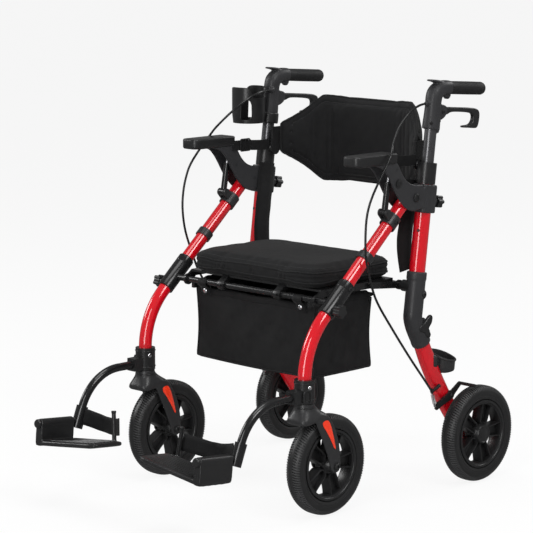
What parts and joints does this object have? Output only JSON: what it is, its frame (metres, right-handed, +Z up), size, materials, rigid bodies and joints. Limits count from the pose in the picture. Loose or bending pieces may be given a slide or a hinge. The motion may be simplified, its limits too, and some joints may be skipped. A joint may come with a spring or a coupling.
{
  "type": "rollator transport chair",
  "caption": "Folding rollator that is also a transport chair: red tubular frame, padded seat over a bag, curved backrest, footrests, casters, height-set handles and hand brakes.",
  "frame": {"origin": "on the floor, midway between the two sides and midway between the front and rear axles", "axes": "+X to the sitter's left, -Y the way the chair faces, +Z up"},
  "size_m": [0.581, 0.8747, 0.8434],
  "materials": {
    "red_paint": "glossy metallic red",
    "black_paint": "gloss black",
    "dark_plastic": "satin dark grey",
    "grey_plastic": "satin grey",
    "black_plastic": "satin black",
    "steel": "satin",
    "bright_tube": "satin anodised",
    "tyre_rubber": "matt black",
    "black_fabric": "woven black",
    "webbing": "black webbing",
    "grip_rubber": "matt black"
  },
  "bodies": {
    "rear_frame": {"rear_posts": "red_paint", "arm_brackets": "grey_plastic", "armrest_pads": "black_plastic", "backrest_collars": "black_plastic", "elbows": "dark_plastic", "rear_legs": "red_paint", "rear_axles": "steel", "side_webs": "webbing", "arm_belts": "webbing", "cane_cup": "black_plastic", "pivot_bolts": "steel", "left_brake_cable": "grip_rubber", "right_brake_cable": "grip_rubber"},
    "left_post_knob": {"left_post_knob": "black_plastic"},
    "right_post_knob": {"right_post_knob": "black_plastic"},
    "front_frame": {"front_tubes": "red_paint", "front_sleeves": "dark_plastic", "front_legs": "red_paint", "front_cross_bar": "black_paint", "tube_clamps": "dark_plastic", "seat_bag": "black_fabric", "footrest_sockets": "dark_plastic", "footrest_arms": "black_paint", "heel_straps": "webbing"},
    "left_sleeve_knob": {"left_sleeve_knob": "black_plastic"},
    "right_sleeve_knob": {"right_sleeve_knob": "black_plastic"},
    "left_caster": {"left_caster_fork": "dark_plastic", "left_caster_axle": "steel"},
    "right_caster": {"right_caster_fork": "dark_plastic", "right_caster_axle": "steel"},
    "left_caster_wheel": {"left_caster_tyre": "tyre_rubber", "left_caster_rim": "dark_plastic"},
    "right_caster_wheel": {"right_caster_tyre": "tyre_rubber", "right_caster_rim": "dark_plastic"},
    "left_rear_wheel": {"left_rear_tyre": "tyre_rubber", "left_rear_rim": "dark_plastic"},
    "right_rear_wheel": {"right_rear_tyre": "tyre_rubber", "right_rear_rim": "dark_plastic"},
    "left_handle": {"left_handle_tube": "bright_tube", "left_handle_housing": "grey_plastic", "left_grip": "grip_rubber"},
    "right_handle": {"right_handle_tube": "bright_tube", "right_handle_housing": "grey_plastic", "right_grip": "grip_rubber", "cup_holder": "black_plastic"},
    "left_brake_lever": {"left_brake_lever": "dark_plastic"},
    "right_brake_lever": {"right_brake_lever": "dark_plastic"},
    "left_brake_arm": {"left_brake_arm": "black_plastic"},
    "right_brake_arm": {"right_brake_arm": "black_plastic"},
    "seat_links": {"seat_links": "black_paint"},
    "seat": {"seat_frame": "black_paint", "seat_cushion": "black_fabric"},
    "backrest": {"backrest_brackets": "black_plastic", "backrest_pad": "black_fabric"},
    "left_strut_barrel": {"left_strut_barrel": "black_paint"},
    "left_strut_rod": {"left_strut_rod": "steel"},
    "right_strut_barrel": {"right_strut_barrel": "black_paint"},
    "right_strut_rod": {"right_strut_rod": "steel"},
    "left_footplate": {"left_footplate": "dark_plastic"},
    "right_footplate": {"right_footplate": "dark_plastic"}
  },
  "joints": [
    {"name": "fold", "type": "hinge", "parent": "rear_frame", "child": "front_frame", "pos_m": [0, 0.03288, 0.611], "axis": [1, 0, 0], "range_deg": [0, 28]},
    {"name": "seat_flip", "type": "hinge", "parent": "front_frame", "child": "seat", "pos_m": [0, -0.18805, 0.42156], "axis": [1, 0, 0], "range_deg": [0, 34.8]},
    {"name": "link_swing", "type": "hinge", "parent": "rear_frame", "child": "seat_links", "pos_m": [0, 0.047, 0.426], "axis": [-1, 0, 0], "range_deg": [0, 37.1]},
    {"name": "left_strut_swing", "type": "hinge", "parent": "front_frame", "child": "left_strut_barrel", "pos_m": [0.229, -0.04097, 0.58589], "axis": [-1, 0, 0], "range_deg": [0, 15.8]},
    {"name": "left_strut_slide", "type": "slide", "parent": "left_strut_barrel", "child": "left_strut_rod", "axis": [0, 0.1699, 0.9855], "range_m": [0, 0.0316]},
    {"name": "left_caster_swivel", "type": "hinge", "parent": "front_frame", "child": "left_caster", "pos_m": [0.229, -0.27, 0.222], "axis": [0, 0, 1], "continuous": true},
    {"name": "left_caster_spin", "type": "hinge", "parent": "left_caster", "child": "left_caster_wheel", "pos_m": [0.229, -0.209, 0.1015], "axis": [1, 0, 0], "continuous": true},
    {"name": "left_rear_spin", "type": "hinge", "parent": "rear_frame", "child": "left_rear_wheel", "pos_m": [0.2695, 0.209, 0.1015], "axis": [1, 0, 0], "continuous": true},
    {"name": "left_handle_slide", "type": "slide", "parent": "rear_frame", "child": "left_handle", "axis": [0, 0.1305, 0.9914], "range_m": [-0.015, 0.06], "deforming": ["left_brake_cable"]},
    {"name": "left_lever_pull", "type": "hinge", "parent": "left_handle", "child": "left_brake_lever", "pos_m": [0.229, 0.12316, 0.7766], "axis": [1, 0, 0], "range_deg": [0, 11], "stiffness_Nm_per_rad": 2},
    {"name": "left_brake_press", "type": "hinge", "parent": "rear_frame", "child": "left_brake_arm", "pos_m": [0.229, 0.15, 0.189], "axis": [-1, 0, 0], "range_deg": [0, 10.5]},
    {"name": "left_footplate_flip", "type": "hinge", "parent": "front_frame", "child": "left_footplate", "pos_m": [0.229, -0.46754, 0.15767], "axis": [0, 0.9954, -0.0958], "range_deg": [0, 80]},
    {"name": "left_post_knob_turn", "type": "hinge", "parent": "rear_frame", "child": "left_post_knob", "pos_m": [0.229, 0.11332, 0.59463], "axis": [0, 0.9914, -0.1305], "range_deg": [-90, 90]},
    {"name": "left_sleeve_knob_turn", "type": "hinge", "parent": "front_frame", "child": "left_sleeve_knob", "pos_m": [0.252, -0.2008, 0.41032], "axis": [1, 0, 0], "range_deg": [-90, 90]},
    {"name": "right_strut_swing", "type": "hinge", "parent": "front_frame", "child": "right_strut_barrel", "pos_m": [-0.229, -0.04097, 0.58589], "axis": [-1, 0, 0], "range_deg": [0, 15.8]},
    {"name": "right_strut_slide", "type": "slide", "parent": "right_strut_barrel", "child": "right_strut_rod", "axis": [0, 0.1699, 0.9855], "range_m": [0, 0.0316]},
    {"name": "right_caster_swivel", "type": "hinge", "parent": "front_frame", "child": "right_caster", "pos_m": [-0.229, -0.27, 0.222], "axis": [0, 0, 1], "continuous": true},
    {"name": "right_caster_spin", "type": "hinge", "parent": "right_caster", "child": "right_caster_wheel", "pos_m": [-0.229, -0.209, 0.1015], "axis": [1, 0, 0], "continuous": true},
    {"name": "right_rear_spin", "type": "hinge", "parent": "rear_frame", "child": "right_rear_wheel", "pos_m": [-0.2695, 0.209, 0.1015], "axis": [1, 0, 0], "continuous": true},
    {"name": "right_handle_slide", "type": "slide", "parent": "rear_frame", "child": "right_handle", "axis": [0, 0.1305, 0.9914], "range_m": [-0.015, 0.06], "deforming": ["right_brake_cable"]},
    {"name": "right_lever_pull", "type": "hinge", "parent": "right_handle", "child": "right_brake_lever", "pos_m": [-0.229, 0.12316, 0.7766], "axis": [1, 0, 0], "range_deg": [0, 11], "stiffness_Nm_per_rad": 2},
    {"name": "right_brake_press", "type": "hinge", "parent": "rear_frame", "child": "right_brake_arm", "pos_m": [-0.229, 0.15, 0.189], "axis": [-1, 0, 0], "range_deg": [0, 10.5]},
    {"name": "right_footplate_flip", "type": "hinge", "parent": "front_frame", "child": "right_footplate", "pos_m": [-0.229, -0.46754, 0.15767], "axis": [0, -0.9954, 0.0958], "range_deg": [0, 80]},
    {"name": "right_post_knob_turn", "type": "hinge", "parent": "rear_frame", "child": "right_post_knob", "pos_m": [-0.229, 0.11332, 0.59463], "axis": [0, 0.9914, -0.1305], "range_deg": [-90, 90]},
    {"name": "right_sleeve_knob_turn", "type": "hinge", "parent": "front_frame", "child": "right_sleeve_knob", "pos_m": [-0.252, -0.2008, 0.41032], "axis": [1, 0, 0], "range_deg": [-90, 90]},
    {"name": "backrest_flip", "type": "hinge", "parent": "rear_frame", "child": "backrest", "pos_m": [0, 0.08867, 0.67019], "axis": [1, 0, 0], "range_deg": [0, 160]}
  ],
  "couplings": [
    {"joint": "seat_flip", "follows": "fold", "ratio": 1.2349},
    {"joint": "link_swing", "follows": "fold", "ratio": 1.3166},
    {"joint": "left_strut_swing", "follows": "fold", "ratio": 0.55646},
    {"joint": "left_strut_slide", "follows": "fold", "m_per_rad": 0.063642},
    {"joint": "left_brake_press", "follows": "left_lever_pull", "ratio": 0.95},
    {"joint": "right_strut_swing", "follows": "fold", "ratio": 0.55646},
    {"joint": "right_strut_slide", "follows": "fold", "m_per_rad": 0.063642},
    {"joint": "right_brake_press", "follows": "right_lever_pull", "ratio": 0.95}
  ]
}
